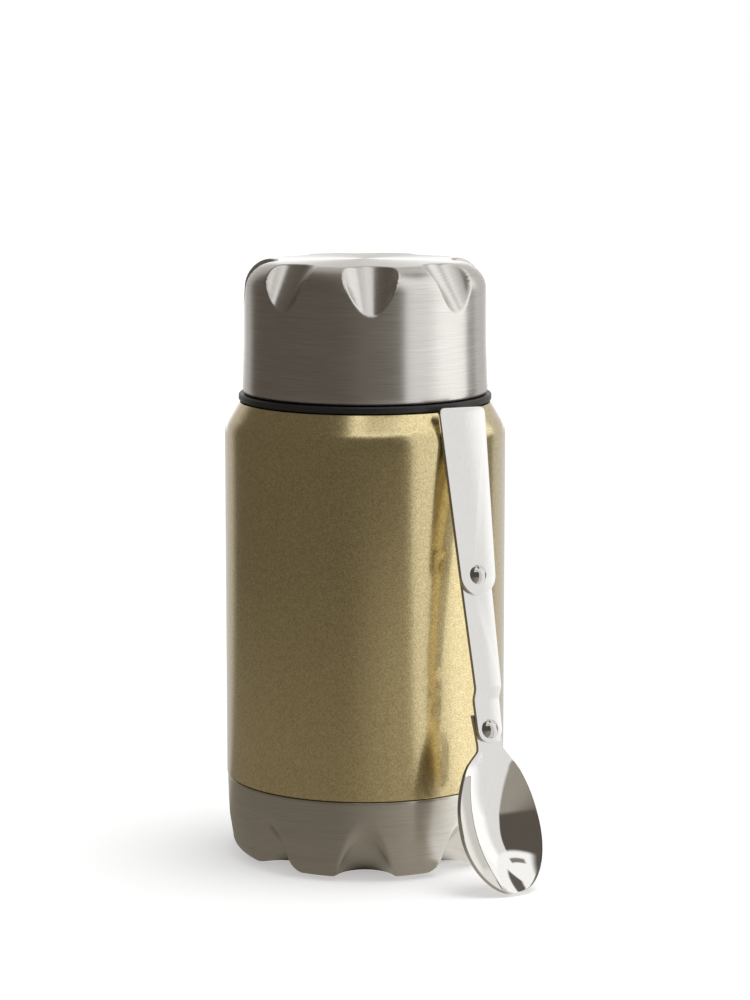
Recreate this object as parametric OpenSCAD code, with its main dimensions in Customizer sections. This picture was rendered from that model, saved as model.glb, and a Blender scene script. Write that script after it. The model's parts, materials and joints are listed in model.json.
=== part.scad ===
// Insulated food jar: steel vacuum body, screw lid, vented stopper, folding spoon.
// Every sub-part is drawn in its place in the closed jar, in millimetres, Z up,
// with the front towards -Y. The spoon stands in front and leans on the shoulder.

/* [Which sub-part] */
// Sub-part to show

/* [Jar body] */
// Outside diameter of the painted body
body_d = 80; // [70:0.5:100]
// Height of the straight painted wall up to the start of the shoulder
wall_h = 100.8; // [60:0.2:160]
// Lean of the shoulder from upright, degrees
shoulder_angle = 30; // [20:1:45]
// Radius that blends the wall into the shoulder
shoulder_blend = 10; // [4:0.5:14]
// Sheet thickness of the outer body
shell_wall = 0.6; // [0.4:0.05:1]
// How far the body steps in where it drops into the base cup
neck_in = 1.0; // [0.8:0.05:2]
// Width of the groove between the base cup and the body
seam_gap = 0.4; // [0.2:0.05:1]
// How far the closed lower end stays inside the body's wall
tail_in = 10; // [8:0.5:14]
// Height of the lower end of the outer body
tail_z = 6; // [5:0.2:8]

/* [Inner flask] */
// How far the mouth stays inside the body's wall
mouth_in = 13; // [12:0.25:17]
// Sheet thickness of the inner flask
flask_wall = 0.5; // [0.3:0.05:1]
// Vacuum space between the two walls
vacuum_gap = 3.5; // [2:0.1:6]
// Vacuum space between the two necks
neck_gap = 0.7; // [0.4:0.05:1.5]
// Height of the underside of the flask
flask_z = 12; // [11:0.2:16]
// Corner radius at the bottom of the flask
flask_corner = 10; // [4:0.5:16]
// Radius that blends the flask's wall into its shoulder
flask_blend = 8; // [4:0.5:12]
// Distance from the top of the shoulder down to the end of the flask's straight wall
flask_drop = 13.2; // [11:0.2:20]
// Height of the neck above the shoulder
neck_h = 11.9; // [10:0.1:16]

/* [Base cup] */
// Height of the base cup
cup_h = 23; // [18:0.2:30]
// Sheet thickness of the base cup
cup_wall = 0.6; // [0.4:0.05:1]
// How much smaller the cup's rim radius is than the body
cup_step = 0.2; // [0:0.05:0.5]
// How much the cup narrows down to the bottom corner
cup_taper = 1.0; // [0:0.1:2]
// Radius of the bottom corner
cup_corner = 6.2; // [3:0.1:8]
// How far the inner edge of the foot ring stays inside the body's wall
foot_in = 16; // [14:0.5:22]
// Height of the raised middle of the cup's floor
floor_rise = 2; // [1:0.1:3]

/* [Pressed recesses] */
// Recesses around the base and around the lid
recess_count = 8; // [4:1:12]
// Height of the base recesses
base_recess_h = 14.8; // [8:0.1:18]
// Lean of the base recesses, degrees
base_recess_angle = 41; // [18:1:45]
// Radius of a base recess at its upper tip
base_recess_r = 5; // [4:0.5:8]
// How much a base recess widens from its tip, degrees from its middle line
base_recess_flare = 14.5; // [8:0.5:18]
// Height of the lid recesses
lid_recess_h = 13.5; // [11:0.1:17]
// Lean of the lid recesses, degrees
lid_recess_angle = 38; // [30:0.5:42]
// Radius of a lid recess at its lower tip
lid_recess_r = 5.5; // [4:0.5:8]
// How much a lid recess widens from its tip, degrees from its middle line
lid_recess_flare = 15.5; // [8:0.5:18]
// How far the closed lid is turned against the base, degrees
lid_turned = 3; // [0:0.5:45]

/* [Stopper] */
// How far the black ring's edge stays inside the body's wall
ring_in = 4; // [2:0.25:6]
// Thickness of the black ring
ring_t = 1.9; // [1.5:0.1:4]
// Wall of the stopper's collar
collar_wall = 1.2; // [1:0.1:2]
// Thickness of the stopper's top
plate_t = 2; // [2:0.1:3]
// Depth of the plug below the stopper's top
plug_depth = 26.2; // [22:0.2:40]
// Gap all round between the plug and the neck
plug_gap = 0.6; // [0.4:0.05:1]
// Wall of the plug
plug_wall = 2; // [1.2:0.1:3]
// Thickness of the plug's floor
plug_floor = 1.5; // [1:0.1:3]
// Thickness of the stopper's cover disc
cover_t = 1.8; // [1.2:0.1:2]
// Width of the ledge that the cover disc sits on
cover_ledge = 0.5; // [0.3:0.05:1]
// Thickness of the neck gasket
gasket_t = 0.6; // [0.4:0.05:2]

/* [Vent] */
// Diameter of the vent button
button_d = 17; // [12:0.5:20]
// Height of the vent button's cap
button_h = 3.5; // [3:0.1:6]
// Depth of the hollow under the button
button_hollow = 1.6; // [0.8:0.1:2]
// How far the button can be pressed
vent_travel = 2.5; // [1.5:0.1:4]
// Diameter of the button's stem
stem_d = 5.8; // [4:0.1:7]
// Depth of the spring's well under the cover
well_depth = 8.9; // [7:0.1:12]
// Wall of the well and of the tube that guides the stem
well_wall = 1.2; // [1:0.1:2]
// Diameter of the soft valve disc
valve_d = 11.6; // [9:0.2:16]
// Thickness of the valve disc
valve_t = 1.4; // [1:0.1:3]
// Mean diameter of the return spring
spring_d = 10.4; // [9:0.1:12]
// Wire of the return spring
spring_wire = 0.8; // [0.5:0.05:1]
// Turns of the return spring
spring_turns = 5; // [3:0.5:7]

/* [Lid] */
// Height of the lid
lid_h = 37.8; // [34:0.1:50]
// How far the lid above its flare stays inside the body's wall
lid_in = 5.5; // [4:0.25:7]
// How much wider the lid is at its lower edge, on the radius
lid_flare = 0.4; // [0:0.05:1]
// Height of the flare
lid_flare_h = 14.3; // [8:0.1:18]
// Radius of the lid's top corner
lid_corner = 7.5; // [5:0.1:10]
// How much the lid's top is domed
lid_crown = 0.4; // [0:0.05:1]
// Sheet thickness of the lid
lid_wall = 0.6; // [0.4:0.05:0.8]
// Wall of the plastic lining
liner_wall = 1.1; // [0.9:0.05:1.6]
// Thickness of the lid gasket
lid_gasket_t = 1.5; // [1:0.1:2.5]
// Width of the lid gasket
lid_gasket_w = 3.1; // [2:0.1:4]
// Gap between the lining's top and the lid's top
liner_drop = 1.8; // [1.6:0.1:4]
// How far the lining's bay for the folded spoon stays inside the lid's wall
bay_in = 5.6; // [5.3:0.1:7]
// Gap between the bay and the lid's recesses
bay_gap = 0.5; // [0.3:0.05:1]

/* [Threads] */
// Rise of a thread in one turn
lead = 16; // [8:1:20]
// Threads side by side
starts = 4; // [2:1:4]
// Height of a thread above its wall
thread_h = 1.1; // [0.8:0.05:1.2]
// Width of a thread at its root
thread_root = 1.7; // [1.2:0.1:2]
// Width of a thread at its crest
thread_crest = 0.9; // [0.5:0.1:1.2]
// Turn covered by each outside thread, degrees
male_sweep = 120; // [60:5:120]
// Turn covered by each inside thread, degrees
female_sweep = 75; // [45:5:90]

/* [Spoon] */
// Direction that the leaning spoon faces, degrees to the right of the front
spoon_turn = 30; // [0:1:60]
// Lean of the spoon against the shoulder, degrees
spoon_lean = 13.1; // [10:0.1:18]
// Sheet thickness of the spoon
spoon_t = 1.2; // [1:0.05:1.6]
// Distance between the two rivets
link_len = 42.45; // [36:0.05:46]
// Length of the handle above its rivet
handle_len = 46.4; // [40:0.1:52]
// Width of the handle at its end
handle_w = 14.7; // [10:0.1:18]
// Radius of the handle round its rivet
handle_r = 5.6; // [4.5:0.1:7]
// Rounding of the handle's far corners
handle_corner = 1.8; // [0.8:0.1:4]
// Half width of the link at its lower rivet
link_r = 3.9; // [3.2:0.1:5]
// Width of the link at its upper end
link_w = 9.8; // [8:0.1:11]
// Length of the link and of the bowl's tang beyond their rivets
link_tail = 4.6; // [3.6:0.1:6]
// Step in the link that clears the lower rivet
joggle = 1.8; // [1.6:0.1:2.6]
// Distance from the lower rivet to the step
joggle_at = 8; // [6:0.1:12]
// Length of the step
joggle_len = 3.3; // [2:0.1:5]
// Half width of the bowl
bowl_w = 12.96; // [10:0.1:16]
// Distance from the lower rivet to the widest part of the bowl
bowl_mid = 27.89; // [24:0.1:32]
// Length of the bowl behind its widest part
bowl_back = 22.47; // [18:0.1:26]
// Length of the bowl in front of its widest part
bowl_front = 18.6; // [15:0.1:24]
// Depth of the bowl
bowl_depth = 6.2; // [4:0.1:9]
// How far the rim sags between the neck and the tip
bowl_dip = 2.97; // [0:0.1:4]
// How far the tip rises above the tang
bowl_tip_rise = 1.2; // [0:0.1:1.6]
// Turn of the bowl on its rivet, degrees
bowl_turn = 4.8; // [0:0.1:8]
// Turn of the handle against the link, degrees
handle_turn = 1.2; // [0:0.1:4]
// Half width of the bowl's tang
tang_r = 3.95; // [3.4:0.05:5]
// Radius of the rivets' shanks
rivet_r = 1.5; // [1:0.05:2]
// Radius of the rivets' domed heads
rivet_head_r = 2.65; // [2:0.05:3.4]
// Height of the domed heads
rivet_head_h = 1.5; // [1:0.05:1.6]
// Height of the flat tails of the rivets
rivet_tail_h = 0.7; // [0.4:0.05:1]

/* [Clearances] */
// Gap between pieces that turn or lift on each other
turn_gap = 0.3; // [0.2:0.05:0.5]
// Gap of pieces that slide or turn in a bore, on the radius
slide_gap = 0.05; // [0.02:0.01:0.1]
// Gap of pieces that are pressed or glued together, on the radius
fit_gap = 0.05; // [0:0.01:0.1]
// Gap between the flat faces of the spoon's links
leaf_gap = 0.15; // [0.1:0.01:0.3]

/* [Colours] */
// Painted body
gold = "#d8c48a";
// Brushed steel of the lid and the base
steel = "#bfc0c2";
// Polished steel of the spoon
polished = "#e4e4e6";
// Darker steel of the rivets and the spring
dark_steel = "#8f9194";
// Black plastic of the stopper
black = "#1c1c1e";
// Plastic lining of the lid
lining = "#d9dadb";
// Silicone seals
silicone = "#eceae4";

/* [Hidden] */
$fn = 96;
arc_steps = 10;
thread_step = 7.5;
over = 1;

// body
body_r = body_d / 2;
ring_r = body_r - ring_in;
body_low = cup_h + seam_gap;
shoulder_low = body_low + wall_h;
shoulder_top = shoulder_low + (body_r - ring_r) / tan(shoulder_angle);
blend_z = shoulder_low - shoulder_blend * tan(shoulder_angle / 2);
blend_c = [body_r - shoulder_blend, blend_z];
necked_r = body_r - neck_in;

// neck, from the mouth outwards
neck_ri = body_r - mouth_in;
neck_ro = neck_ri + flask_wall;
shell_neck_ri = neck_ro + neck_gap;
shell_neck_ro = shell_neck_ri + shell_wall;
collar_ri = shell_neck_ro + thread_h + turn_gap;
collar_ro = collar_ri + collar_wall;
liner_ri = collar_ro + thread_h + turn_gap;
liner_ro = liner_ri + liner_wall;
neck_top = shoulder_top + neck_h;
rim_top = neck_top + flask_wall;

// inner flask
flask_r = body_r - shell_wall - vacuum_gap;
flask_top_z = shoulder_top - flask_drop;

// base cup
cup_r = body_r - cup_step;
cup_low_r = cup_r - cup_taper;
foot_r = cup_low_r - cup_corner;
foot_inner_r = body_r - foot_in;
cup_mid_z = cup_h / 2;
cup_mid_r = cup_r - 0.3 * cup_taper;
panel_top = floor_rise + cup_wall;
base_recess_at = [cup_r - 0.1 * cup_taper, base_recess_h];

// lower end of the vacuum body
tail_r = body_r - tail_in;
tail_edge = 2;
tail_rise = 11.5;
disc_z = tail_z + 1.2;
disc_r = tail_r - shell_wall;
pocket_r = 4.4;
pocket_h = 0.8;
hole_r = 1.2;
disc_top = disc_z + shell_wall;
glue_in = 10;
glue_w = 8;
glue_ro = tail_r - glue_in;
glue_ri = glue_ro - glue_w;

// stopper
ring_z = shoulder_top + turn_gap;
ring_top = ring_z + ring_t;
plate_z = rim_top + fit_gap + gasket_t;
plate_top = plate_z + plate_t;
plug_r = neck_ri - plug_gap;
plug_z = plate_z - plug_depth;
cover_z = plate_top - cover_t;
seat_r = plug_r - plug_wall + cover_ledge;
chamber_r = plug_r - plug_wall;
chamber_z = plug_z + plug_floor;
button_r = button_d / 2;
well_ri = button_r + 0.5;
well_ro = well_ri + well_wall;
well_z = cover_z - well_depth;
stem_r = stem_d / 2;
tube_ro = stem_r + slide_gap + well_wall;
cap_z = cover_z + 0.5;
valve_top = plug_z - turn_gap;

// lid
lid_r = body_r - lid_in;
lid_z = ring_top + turn_gap;
lid_top = lid_z + lid_h;
lid_low_r = lid_r + lid_flare;
lid_recess_at = [lid_r, lid_top - lid_recess_h];
seal_z = plate_top + turn_gap;
step_z = seal_z + lid_gasket_t + turn_gap;
lid_flat_r = lid_r - lid_corner;
lid_flat_z = lid_top - lid_crown;
// the bay's upper part leans as the lid's recesses do
bay_ro = lid_r - bay_in;
bay_ri = bay_ro - liner_wall;
bay_z = lid_recess_at[1]
    + (bay_in - lid_wall / cos(lid_recess_angle) - bay_gap) / tan(lid_recess_angle);
bay_shift = liner_wall * (1 / cos(lid_recess_angle) - 1) / tan(lid_recess_angle);
liner_top = lid_flat_z - lid_wall - liner_drop;
bay_top_ro = bay_ro - (liner_top - bay_z) * tan(lid_recess_angle);
bay_top_ri = bay_ri - (liner_top - liner_wall - bay_z + bay_shift) * tan(lid_recess_angle);

// threads
pitch = lead / starts;
neck_thread_up = 2.9;
collar_thread_up = 3.1;
neck_thread_z = shoulder_top + neck_thread_up;
collar_thread_z = ring_top + collar_thread_up;

// spoon: heights above the front face of the tang
link_low_z = leaf_gap;
link_high_z = link_low_z + joggle;
handle_z = link_high_z + spoon_t + leaf_gap;
grip_len = spoon_t + leaf_gap + spoon_t + slide_gap;
rivet_hole_r = rivet_r + slide_gap;
// the handle's back rests on the blend of the shoulder
lean_reach = (blend_c[0] + shoulder_blend * cos(spoon_lean)) * cos(spoon_lean)
    + (blend_c[1] + shoulder_blend * sin(spoon_lean)) * sin(spoon_lean);
plane_at = lean_reach + turn_gap - handle_z;
bowl_len = bowl_mid + bowl_front;
// the tip stands on the ground
tip_drop = bowl_len * cos(bowl_turn) * cos(spoon_lean) - (bowl_tip_rise - spoon_t) * sin(spoon_lean);
pivot_z = tip_drop;
pivot_side = 7.38;
pivot_out = (plane_at - pivot_z * sin(spoon_lean)) / cos(spoon_lean);

function arc(c, r, a0, a1, n = arc_steps) =
    [for (i = [0:n]) let (a = a0 + (a1 - a0) * i / n) [c[0] + r * cos(a), c[1] + r * sin(a)]];

// Closed solid through rings of points; each ring turns anticlockwise seen along the sweep
module loft(rings) {
    n = len(rings[0]);
    m = len(rings);
    points = [for (ring = rings) each ring];
    sides = [for (j = [0:m - 2]) for (i = [0:n - 1])
        [j * n + i, j * n + (i + 1) % n, (j + 1) * n + (i + 1) % n, (j + 1) * n + i]];
    first = [for (i = [n - 1:-1:0]) i];
    last = [for (i = [0:n - 1]) (m - 1) * n + i];
    polyhedron(points, concat([first], sides, [last]), convexity = 8);
}

// Threads side by side; root is the wall they stand on, inward ones point at the axis
module threads(root, z, sweep, inward = false) {
    sink = 0.3;
    a = inward ? root - thread_h : root - sink;
    b = inward ? root + sink : root + thread_h;
    wa = inward ? thread_crest / 2 : thread_root / 2;
    wb = inward ? thread_root / 2 : thread_crest / 2;
    steps = ceil(sweep / thread_step);
    for (k = [0:starts - 1])
        rotate([0, 0, k * 360 / starts])
            loft([for (i = [0:steps])
                let (t = sweep * i / steps, c = z + lead * t / 360)
                    [for (p = [[a, c - wa], [b, c - wb], [b, c + wb], [a, c + wa]])
                        [p[0] * cos(t), p[0] * sin(t), p[1]]]]);
}

// Cone that presses a recess: its inner side passes the origin, leans inwards going up
// and has radius r there; grow moves the cone's surface inwards
module recess_tool(lean, r, flare, grow) {
    reach = 80;
    rotate([0, -lean, 0])
        translate([0, 0, -r / tan(flare)])
            rotate([0, flare, 0])
                translate([0, 0, -grow / sin(flare)])
                    cylinder(r1 = 0, r2 = reach * tan(flare), h = reach);
}

module base_recess_tools(grow = 0) {
    for (k = [0:recess_count - 1])
        rotate([0, 0, k * 360 / recess_count - 90])
            translate([base_recess_at[0], 0, base_recess_at[1]])
                mirror([0, 0, 1])
                    recess_tool(base_recess_angle, base_recess_r, base_recess_flare, grow);
}

module lid_recess_tools(grow = 0) {
    for (k = [0:recess_count - 1])
        rotate([0, 0, lid_turned + k * 360 / recess_count - 90])
            translate([lid_recess_at[0], 0, lid_recess_at[1]])
                recess_tool(lid_recess_angle, lid_recess_r, lid_recess_flare, grow);
}

// Puts a spoon piece in the leaning plane, with its origin on the lower rivet
module lean_spoon() {
    rotate([0, 0, spoon_turn])
        translate([pivot_side, -pivot_out, pivot_z])
            rotate([90 - spoon_lean, 0, 0])
                children();
}

// ---- vacuum body ----

module outer_shell() {
    inner_blend = shoulder_blend - shell_wall;
    cone_r = blend_c[0] + inner_blend * cos(shoulder_angle);
    cone_z = blend_c[1] + inner_blend * sin(shoulder_angle);
    roof_z = shoulder_top - shell_wall;
    outside = concat(
        [[tail_r, tail_z], [tail_r, tail_z + tail_edge], [necked_r, tail_z + tail_rise],
         [necked_r, cup_h], [body_r, body_low]],
        arc(blend_c, shoulder_blend, 0, shoulder_angle, 4),
        [[ring_r, shoulder_top], [shell_neck_ro, shoulder_top], [shell_neck_ro, neck_top]]);
    inside = concat(
        [[shell_neck_ri, neck_top], [shell_neck_ri, roof_z],
         [cone_r - (roof_z - cone_z) * tan(shoulder_angle), roof_z]],
        arc(blend_c, inner_blend, shoulder_angle, 0, 4),
        [[body_r - shell_wall, body_low + shell_wall],
         [necked_r - shell_wall, cup_h + shell_wall],
         [necked_r - shell_wall, tail_z + tail_rise + 0.2],
         [disc_r, tail_z + tail_edge + 0.2], [disc_r, tail_z]]);
    color(gold) {
        rotate_extrude() polygon(concat(outside, inside));
        threads(shell_neck_ro, neck_thread_z, male_sweep);
    }
}

function flask_path(d) = let (c = [flask_r - flask_blend, flask_top_z], r = flask_blend - d,
        neck = neck_ro - d, low_c = [flask_r - flask_corner, flask_z + flask_corner])
    concat([[0, flask_z + d]], arc(low_c, flask_corner - d, -90, 0), arc(c, r, 0, 60, 6),
        [[neck, c[1] + r * sin(60) + (c[0] + r * cos(60) - neck) * tan(30)]]);

module inner_flask() {
    out = flask_path(0);
    in = flask_path(flask_wall);
    lip = [[neck_ro, neck_top], [shell_neck_ro, neck_top], [shell_neck_ro, rim_top],
        [neck_ri, rim_top]];
    color(steel)
        rotate_extrude()
            polygon(concat(out, lip, [for (i = [len(in) - 1:-1:0]) in[i]]));
}

module shell_bottom() {
    color(steel)
        rotate_extrude()
            polygon([[hole_r, disc_z + pocket_h], [pocket_r, disc_z + pocket_h],
                [pocket_r, disc_z], [disc_r - shell_wall, disc_z],
                [disc_r - shell_wall, tail_z], [disc_r, tail_z], [disc_r, disc_top],
                [pocket_r + shell_wall, disc_top],
                [pocket_r + shell_wall, disc_top + pocket_h], [hole_r, disc_top + pocket_h]]);
}

module seal_bead() {
    color(dark_steel)
        rotate_extrude()
            polygon([[0, disc_z - 0.1], [2.6, disc_z - 0.1], [pocket_r - 1, disc_z + 0.3],
                [pocket_r - 1, disc_z + pocket_h], [hole_r, disc_z + pocket_h],
                [hole_r, disc_top + pocket_h], [0, disc_top + pocket_h]]);
}

getter_at = [tail_r / 2, 0, disc_top];
pill_r = 5.5;
pill_h = 2.4;
holder_t = 0.4;

module getter_holder() {
    color(steel)
        translate(getter_at)
            difference() {
                cylinder(r = pill_r + fit_gap + holder_t, h = pill_h);
                translate([0, 0, holder_t]) cylinder(r = pill_r + fit_gap, h = pill_h);
            }
}

module getter_pill() {
    color(dark_steel)
        translate(getter_at) translate([0, 0, holder_t]) cylinder(r = pill_r, h = pill_h);
}

// ---- base ----

module base_cup() {
    t = cup_wall;
    slope = 2;
    outside = concat([[0, floor_rise], [foot_inner_r - slope, floor_rise], [foot_inner_r, 0]],
        arc([foot_r, cup_corner], cup_corner, -90, 0),
        [[cup_mid_r, cup_mid_z], [cup_r, cup_h]]);
    inside = concat([[0, panel_top], [foot_inner_r - slope + t / 2, panel_top],
            [foot_inner_r + t / 2, t]],
        arc([foot_r, cup_corner], cup_corner - t, -90, 0),
        [[cup_mid_r - t, cup_mid_z], [cup_r - t, cup_h], [cup_r - t, cup_h + over],
         [0, cup_h + over]]);
    color(steel)
        difference() {
            difference() {
                rotate_extrude() polygon(concat(outside, [[0, cup_h]]));
                base_recess_tools();
            }
            difference() {
                rotate_extrude() polygon(inside);
                base_recess_tools(t);
            }
        }
}

module base_adhesive() {
    color(silicone)
        translate([0, 0, panel_top])
            difference() {
                cylinder(r = glue_ro, h = disc_z - panel_top);
                translate([0, 0, -over]) cylinder(r = glue_ri, h = disc_z + 2 * over);
            }
}

// ---- stopper ----

module stopper_body() {
    color(black) {
        difference() {
            union() {
                rotate_extrude() {
                    edge = 0.3;
                    polygon([[collar_ri, ring_z], [ring_r - edge, ring_z],
                        [ring_r, ring_z + edge], [ring_r, ring_top - edge],
                        [ring_r - edge, ring_top], [collar_ro, ring_top],
                        [collar_ro, plate_top], [seat_r, plate_top], [seat_r, cover_z],
                        [chamber_r, cover_z], [chamber_r, chamber_z], [tube_ro, chamber_z],
                        [tube_ro, well_z - well_wall], [well_ro, well_z - well_wall],
                        [well_ro, cover_z], [well_ri, cover_z], [well_ri, well_z],
                        [0, well_z], [0, plug_z], [plug_r, plug_z], [plug_r, plate_z],
                        [collar_ri, plate_z]]);
                }
                threads(collar_ri, neck_thread_z + pitch / 2, female_sweep, true);
                threads(collar_ro, collar_thread_z, male_sweep);
            }
            translate([0, 0, plug_z - over])
                cylinder(r = stem_r + slide_gap, h = plug_depth + over);
        }
    }
}

module stopper_cover() {
    color(black)
        translate([0, 0, cover_z])
            difference() {
                cylinder(r = seat_r - fit_gap, h = cover_t);
                translate([0, 0, -over])
                    cylinder(r = button_r + slide_gap, h = cover_t + 2 * over);
            }
}

module stopper_gasket() {
    color(silicone)
        translate([0, 0, plate_z - gasket_t])
            difference() {
                cylinder(r = shell_neck_ro + 0.1, h = gasket_t);
                translate([0, 0, -over]) cylinder(r = plug_r, h = gasket_t + 2 * over);
            }
}

module stopper_foam() {
    low = chamber_z + turn_gap;
    high = cover_z - turn_gap;
    color("white")
        rotate_extrude()
            polygon([[tube_ro + turn_gap, low], [chamber_r - turn_gap, low],
                [chamber_r - turn_gap, high], [well_ro + turn_gap, high],
                [well_ro + turn_gap, well_z - well_wall - turn_gap],
                [tube_ro + turn_gap, well_z - well_wall - turn_gap]]);
}

module vent_button() {
    edge = 0.8;
    tip_z = valve_top - valve_t;
    color(black)
        rotate_extrude()
            polygon([[0, tip_z - 1], [stem_r, tip_z - 1], [stem_r + 0.7, tip_z - 0.5],
                [stem_r + 0.7, tip_z], [stem_r, tip_z], [stem_r, cap_z + button_hollow],
                [button_r - 1.1, cap_z + button_hollow], [button_r - 1.1, cap_z],
                [button_r, cap_z], [button_r, cap_z + button_h - edge],
                [button_r - edge, cap_z + button_h], [0, cap_z + button_h]]);
}

module vent_valve() {
    color(silicone)
        translate([0, 0, valve_top - valve_t])
            difference() {
                cylinder(r = valve_d / 2, h = valve_t);
                translate([0, 0, -over]) cylinder(r = stem_r, h = valve_t + 2 * over);
            }
}

module vent_spring() {
    w = spring_wire / 2;
    low = well_z + w;
    rise = cap_z + button_hollow - well_z - spring_wire;
    steps = spring_turns * 20;
    color(dark_steel)
        loft([for (i = [0:steps])
            let (a = 360 * spring_turns * i / steps, z = low + rise * i / steps)
                [for (k = [0:5])
                    let (r = spring_d / 2 + w * cos(60 * k))
                        [r * cos(a), r * sin(a), z + w * sin(60 * k)]]]);
}

// ---- lid ----

// The lid's corner and domed top, d inside its outer face
function lid_path(d) = concat(arc([lid_flat_r, lid_flat_z - lid_corner], lid_corner - d, 0, 90),
    [for (i = [3:-1:0]) [lid_flat_r * i / 4, lid_top - d - lid_crown * i * i / 16]]);

module lid_shell() {
    flare_z = lid_z + lid_flare_h;
    t = lid_wall;
    color(steel)
        difference() {
            difference() {
                rotate_extrude()
                    polygon(concat([[0, lid_z], [lid_low_r, lid_z], [lid_r, flare_z]],
                        lid_path(0)));
                lid_recess_tools();
            }
            difference() {
                rotate_extrude()
                    polygon(concat([[0, lid_z - over], [lid_low_r - t, lid_z - over],
                            [lid_low_r - t, lid_z], [lid_r - t, flare_z]],
                        lid_path(t)));
                lid_recess_tools(t);
            }
        }
}

module lid_liner() {
    t = liner_wall;
    liner_out = lid_r - lid_wall - fit_gap;
    color(lining) {
        rotate_extrude()
            polygon([[liner_ri, lid_z + 0.6], [liner_out, lid_z + 0.6],
                [liner_out, step_z + t], [bay_ro, step_z + t], [bay_ro, bay_z],
                [bay_top_ro, liner_top], [0, liner_top], [0, liner_top - t],
                [bay_top_ri, liner_top - t], [bay_ri, bay_z - bay_shift],
                [bay_ri, step_z], [liner_ri, step_z]]);
        threads(liner_ri, collar_thread_z + pitch / 2, female_sweep, true);
    }
}

module lid_gasket() {
    color(silicone)
        translate([0, 0, seal_z])
            difference() {
                cylinder(r = liner_ri - 0.5, h = lid_gasket_t);
                translate([0, 0, -over])
                    cylinder(r = liner_ri - 0.5 - lid_gasket_w, h = lid_gasket_t + 2 * over);
            }
}

// ---- spoon ----

function bar(r, half_w, length, corner) = concat(arc([0, 0], r, 180, 360, 24),
    arc([half_w - corner, length - corner], corner, 0, 90, 6),
    arc([corner - half_w, length - corner], corner, 90, 180, 6));

module spoon_handle() {
    color(polished)
        lean_spoon()
            translate([0, link_len, handle_z])
                rotate([0, 0, -handle_turn])
                    difference() {
                        linear_extrude(spoon_t)
                            polygon(bar(handle_r, handle_w / 2, handle_len, handle_corner));
                        translate([0, 0, -over])
                            cylinder(r = rivet_hole_r, h = spoon_t + 2 * over);
                    }
}

module spoon_link() {
    low = link_low_z;
    high = link_high_z;
    end = link_len + 2 * link_tail;
    j0 = joggle_at;
    j1 = joggle_at + joggle_len;
    color(polished)
        lean_spoon()
            difference() {
                intersection() {
                    linear_extrude(high + 2 * spoon_t)
                        polygon(bar(link_r, link_w / 2, link_len + link_tail, 0.5));
                    translate([-link_w, 0, 0])
                        rotate([90, 0, 90])
                            linear_extrude(2 * link_w)
                                polygon([[-link_w, low], [j0, low], [j1, high], [end, high],
                                    [end, high + spoon_t], [j1 - 0.4, high + spoon_t],
                                    [j0 - 0.4, low + spoon_t], [-link_w, low + spoon_t]]);
                }
                for (y = [0, link_len])
                    translate([0, y, -over]) cylinder(r = rivet_r, h = high + 3 * spoon_t);
            }
}

// A point of the bowl's rim; a is 0 at the tip and 180 at the neck
function rim_point(a, k) = let (s = bowl_mid + k * (abs(a) < 90 ? bowl_front : bowl_back) * cos(a))
    [k * bowl_w * sin(a), -s, s / bowl_len];
function rim_rise(x) = -4 * bowl_dip * x * (1 - x) + bowl_tip_rise * x * x;
function bowl_ring(k, drop) = [for (i = [0:35])
    let (a = i * 10 - 180, p = rim_point(a, k), q = rim_point(a, 1))
        [p[0], p[1], (1 - k * k) * rim_rise(bowl_mid / bowl_len)
            + k * k * rim_rise(q[2]) - drop]];
function bowl_sink(k) = bowl_depth * (1 - k * k);

module spoon_bowl() {
    ks = [0.12, 0.3, 0.5, 0.68, 0.82, 0.92, 1];
    lip = 0.97;
    // the neck slopes from the flat tang down into the back of the bowl
    neck_at = rivet_head_r + 0.4;
    neck_end = bowl_mid - bowl_back + 2.2;
    neck_fall = 0.36 * (neck_end - neck_at);
    tops = [for (k = ks) bowl_ring(k * lip, bowl_sink(k))];
    backs = [for (i = [len(ks) - 1:-1:0]) bowl_ring(ks[i], bowl_sink(ks[i]) + spoon_t)];
    color(polished)
        lean_spoon()
            rotate([0, 0, bowl_turn]) {
                loft(concat(tops, backs));
                difference() {
                    intersection() {
                        translate([0, 0, -4 * spoon_t])
                            linear_extrude(4 * spoon_t)
                                polygon([[-tang_r, link_tail], [-tang_r, -neck_at - 1.4],
                                    [-tang_r - 0.9, -neck_end], [tang_r + 0.9, -neck_end],
                                    [tang_r, -neck_at - 1.4], [tang_r, link_tail]]);
                        translate([-2 * tang_r, 0, 0])
                            rotate([90, 0, 90])
                                linear_extrude(4 * tang_r)
                                    polygon([[link_tail, 0], [-neck_at, 0],
                                        [-neck_end, -neck_fall],
                                        [-neck_end, -neck_fall - spoon_t],
                                        [-neck_at, -spoon_t], [link_tail, -spoon_t]]);
                    }
                    translate([0, 0, -spoon_t - over])
                        cylinder(r = rivet_hole_r, h = spoon_t + 2 * over);
                }
            }
}

// Rivet with its grip from z = 0 up
module rivet() {
    dome_r = (rivet_head_r * rivet_head_r + rivet_head_h * rivet_head_h) / (2 * rivet_head_h);
    half = asin(rivet_head_r / dome_r);
    rotate_extrude()
        polygon(concat([[0, -rivet_tail_h], [rivet_head_r - 0.6, -rivet_tail_h],
                [rivet_head_r - 0.3, -rivet_tail_h + 0.3], [rivet_head_r - 0.3, 0],
                [rivet_r, 0], [rivet_r, grip_len]],
            arc([0, grip_len + rivet_head_h - dome_r], dome_r, 90 - half, 90)));
}

module spoon_rivets() {
    color(dark_steel)
        lean_spoon() {
            translate([0, 0, -spoon_t - slide_gap]) rivet();
            translate([0, link_len, link_high_z]) rivet();
        }
}

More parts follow.
